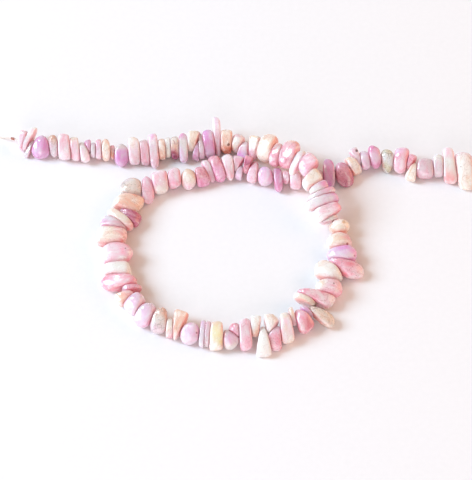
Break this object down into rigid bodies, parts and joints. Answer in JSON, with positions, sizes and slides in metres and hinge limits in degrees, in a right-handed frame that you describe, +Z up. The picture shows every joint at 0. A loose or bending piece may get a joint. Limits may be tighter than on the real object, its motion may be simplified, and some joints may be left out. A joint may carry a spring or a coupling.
{
  "type": "kunzite chip bead strand",
  "caption": "Strand of small tumbled and drilled kunzite chips in pink, lilac, cream and peach on a thin knotted thread, laid flat in a loop that crosses over itself.",
  "frame": {"origin": "centre of the strand's bounding box, at the height of the table that it lies on", "axes": "+X to the right along the strand's longest reach, +Y away from the viewer, +Z up from the table"},
  "size_m": [0.1901, 0.0862, 0.0101],
  "materials": {
    "kunzite_blush": "tumbled polish, milky pale pink",
    "kunzite_pink": "tumbled polish, milky pink",
    "kunzite_rose": "tumbled polish, milky rose with fine veins",
    "kunzite_ruby": "tumbled polish, deep rose and half clear",
    "kunzite_white": "tumbled polish, milky pinkish white",
    "kunzite_cream": "tumbled polish, milky cream",
    "kunzite_peach": "tumbled polish, peach from iron stain",
    "kunzite_orchid": "tumbled polish, clear orchid pink",
    "kunzite_lilac": "tumbled polish, half clear lilac",
    "kunzite_mauve": "tumbled polish, half clear mauve",
    "kunzite_smoke": "tumbled polish, clear greenish grey",
    "kunzite_grey": "tumbled polish, speckled clear grey",
    "cotton_thread": "fine twisted thread, matt"
  },
  "bodies": {
    "root": {"chips_001_to_003": "kunzite_blush", "chip_004_orchid": "kunzite_orchid", "chips_005_to_006": "kunzite_grey", "chips_007_to_013": "kunzite_blush", "chip_014_orchid": "kunzite_orchid", "chip_015_blush": "kunzite_blush", "chips_016_to_017": "kunzite_pink", "chips_018_to_021": "kunzite_cream", "chips_022_to_024": "kunzite_cream", "chip_025_orchid": "kunzite_orchid", "chip_026_mauve": "kunzite_mauve", "chip_027_peach": "kunzite_peach", "chips_028_to_030": "kunzite_blush", "chip_031_cream": "kunzite_cream", "chips_032_to_033": "kunzite_rose", "chips_034_to_035": "kunzite_white", "chip_036_cream": "kunzite_cream", "chips_037_to_039": "kunzite_white", "chips_040_to_042": "kunzite_cream", "chip_043_peach": "kunzite_peach", "chip_044_lilac": "kunzite_lilac", "chip_045_rose": "kunzite_rose", "chip_046_white": "kunzite_white", "chip_047_peach": "kunzite_peach", "chip_048_rose": "kunzite_rose", "chip_049_cream": "kunzite_cream", "chip_050_grey": "kunzite_grey", "chips_051_to_052": "kunzite_mauve", "chips_053_to_056": "kunzite_blush", "chip_057_white": "kunzite_white", "chips_058_to_059": "kunzite_cream", "chips_060_to_061": "kunzite_rose", "chips_062_to_064": "kunzite_cream", "chip_065_lilac": "kunzite_lilac", "chips_066_to_067": "kunzite_peach", "chips_068_to_069": "kunzite_grey", "chip_070_lilac": "kunzite_lilac", "chips_071_to_072": "kunzite_peach", "chip_073_pink": "kunzite_pink", "chip_074_white": "kunzite_white", "chip_075_blush": "kunzite_blush", "chip_076_cream": "kunzite_cream", "chips_077_to_078": "kunzite_lilac", "chip_079_ruby": "kunzite_ruby", "chip_080_peach": "kunzite_peach", "chips_081_to_082": "kunzite_grey", "chips_083_to_085": "kunzite_blush", "chips_086_to_088": "kunzite_rose", "chips_089_to_092": "kunzite_white", "chips_093_to_094": "kunzite_pink", "chip_095_mauve": "kunzite_mauve", "chips_096_to_100": "kunzite_peach", "chip_101_mauve": "kunzite_mauve", "chip_102_ruby": "kunzite_ruby", "chips_103_to_106": "kunzite_cream", "chips_107_to_108": "kunzite_smoke", "chips_109_to_112": "kunzite_rose", "chips_113_to_115": "kunzite_white", "chips_116_to_123": "kunzite_cream", "thread": "cotton_thread"}
  },
  "joints": []
}
